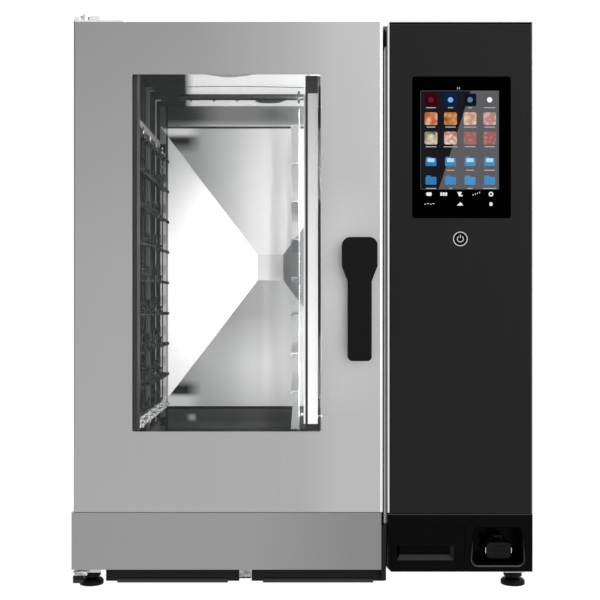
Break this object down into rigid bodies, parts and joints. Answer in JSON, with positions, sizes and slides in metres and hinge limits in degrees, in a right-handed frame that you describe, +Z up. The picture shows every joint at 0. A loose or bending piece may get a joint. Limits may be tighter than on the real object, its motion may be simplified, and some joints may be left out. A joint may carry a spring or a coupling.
{
  "type": "combi steamer oven",
  "caption": "Free-standing combi steamer oven with a side-hinged glass door, black control column, touchscreen, hang-in tray racks, fan, detergent drawer and hand shower.",
  "frame": {"origin": "middle of the footprint on the floor", "axes": "+Z up; the door and control panel face -Y; +X points to the control column on the viewer's right"},
  "size_m": [0.85, 0.835, 1.1],
  "materials": {
    "steel_casing": "brushed",
    "steel_band": "brushed, slightly darker",
    "cavity_steel": "bright rolled",
    "chrome": "polished",
    "zinc_steel": "zinc plated",
    "black_panel": "satin black",
    "gloss_black": "gloss",
    "matt_black": "fine matt",
    "black_rubber": "matt",
    "screen_glass": "glossy black glass",
    "door_glass": "clear",
    "light_lens": "lit white",
    "dark_plastic": "satin",
    "grey_plastic": "satin",
    "wool": "mineral wool",
    "gasket_rubber": "silicone",
    "motor_paint": "cast paint",
    "white_plastic": "gloss"
  },
  "bodies": {
    "oven": {"base_frame": "zinc_steel", "front_base_panel": "steel_band", "plinth_bars": "black_rubber", "front_brackets": "chrome", "side_panel_left": "steel_casing", "side_panel_right": "steel_casing", "rear_panel": "steel_casing", "top_panel": "steel_casing", "front_frame": "steel_casing", "cavity_liner": "cavity_steel", "cavity_rear_panel": "cavity_steel", "insulation": "wool", "door_gasket": "gasket_rubber", "air_baffle": "cavity_steel", "heating_element": "zinc_steel", "fan_motor": "motor_paint", "spray_bar": "zinc_steel", "ceiling_boss": "cavity_steel", "drain_grate": "cavity_steel", "drain_pipe": "steel_casing", "steam_generator": "steel_casing", "water_inlets": "zinc_steel", "exhaust_flue": "steel_casing", "air_vent_tube": "steel_casing", "damper_motor": "dark_plastic", "hinge_brackets": "chrome", "column_trim": "steel_casing", "control_panel": "black_panel", "touchscreen_glass": "screen_glass", "panel_electronics": "dark_plastic", "column_base": "gloss_black", "drawer_rails": "zinc_steel", "reel_bracket": "zinc_steel", "cooling_fan_housing": "dark_plastic", "electrical_parts": "grey_plastic", "cable_gland": "dark_plastic"},
    "door": {"door_shell": "steel_casing", "door_inner_frame": "steel_casing", "door_outer_glass": "door_glass", "door_window_frame": "gasket_rubber", "door_inner_glass": "door_glass", "door_light_housing": "dark_plastic", "door_light_lens": "light_lens", "latch_case": "zinc_steel"},
    "handle": {"door_handle": "matt_black", "latch_cam": "zinc_steel"},
    "fan": {"fan_wheel": "cavity_steel"},
    "left_rack": {"rack_left": "chrome"},
    "right_rack": {"rack_right": "chrome"},
    "drawer": {"detergent_drawer": "gloss_black"},
    "shower": {"hand_shower": "dark_plastic"},
    "trigger": {"shower_trigger": "matt_black"},
    "reel": {"hose_reel": "black_rubber"},
    "button": {"power_button": "gloss_black"},
    "cooling_rotor": {"cooling_fan_rotor": "dark_plastic"},
    "flap": {"vent_flap": "zinc_steel"},
    "foot_fl": {"foot_front_left": "black_rubber"},
    "foot_fr": {"foot_front_right": "black_rubber"},
    "foot_rl": {"foot_rear_left": "black_rubber"},
    "foot_rr": {"foot_rear_right": "black_rubber"}
  },
  "joints": [
    {"name": "door_hinge", "type": "hinge", "parent": "oven", "child": "door", "pos_m": [-0.404, -0.335, 0.6], "axis": [0, 0, -1], "range_deg": [0, 120]},
    {"name": "handle_turn", "type": "hinge", "parent": "door", "child": "handle", "pos_m": [0.1032, -0.38, 0.616], "axis": [0, 1, 0], "range_deg": [-60, 60], "stiffness_Nm_per_rad": 1.5},
    {"name": "fan_spin", "type": "hinge", "parent": "oven", "child": "fan", "pos_m": [0.127, 0, 0.608], "axis": [1, 0, 0], "continuous": true},
    {"name": "left_rack_lift", "type": "slide", "parent": "oven", "child": "left_rack", "axis": [0, 0, 1], "range_m": [0, 0.02]},
    {"name": "right_rack_lift", "type": "slide", "parent": "oven", "child": "right_rack", "axis": [0, 0, 1], "range_m": [0, 0.02]},
    {"name": "drawer_slide", "type": "slide", "parent": "oven", "child": "drawer", "axis": [0, -1, 0], "range_m": [0, 0.2]},
    {"name": "shower_pull", "type": "slide", "parent": "oven", "child": "shower", "axis": [0, -1, 0], "range_m": [0, 0.15]},
    {"name": "trigger_press", "type": "hinge", "parent": "shower", "child": "trigger", "pos_m": [0.3637, -0.319, 0.089], "axis": [1, 0, 0], "range_deg": [0, 7], "stiffness_Nm_per_rad": 0.4},
    {"name": "reel_turn", "type": "hinge", "parent": "oven", "child": "reel", "pos_m": [0.3637, -0.14, 0.136], "axis": [-1, 0, 0], "range_deg": [0, 160]},
    {"name": "power_press", "type": "slide", "parent": "oven", "child": "button", "axis": [0, 1, 0], "range_m": [0, 0.0015], "stiffness_N_per_m": 400},
    {"name": "cooling_spin", "type": "hinge", "parent": "oven", "child": "cooling_rotor", "pos_m": [0.29, 0.38, 0.899], "axis": [0, 1, 0], "continuous": true},
    {"name": "vent_flap_turn", "type": "hinge", "parent": "oven", "child": "flap", "pos_m": [0.06, 0.24, 1.07], "axis": [1, 0, 0], "range_deg": [0, 90]},
    {"name": "foot_fl_screw", "type": "slide", "parent": "oven", "child": "foot_fl", "axis": [0, 0, -1], "range_m": [0, 0.01]},
    {"name": "foot_fr_screw", "type": "slide", "parent": "oven", "child": "foot_fr", "axis": [0, 0, -1], "range_m": [0, 0.01]},
    {"name": "foot_rl_screw", "type": "slide", "parent": "oven", "child": "foot_rl", "axis": [0, 0, -1], "range_m": [0, 0.01]},
    {"name": "foot_rr_screw", "type": "slide", "parent": "oven", "child": "foot_rr", "axis": [0, 0, -1], "range_m": [0, 0.01]}
  ],
  "couplings": [
    {"joint": "reel_turn", "follows": "shower_pull", "rad_per_m": 16.667}
  ]
}
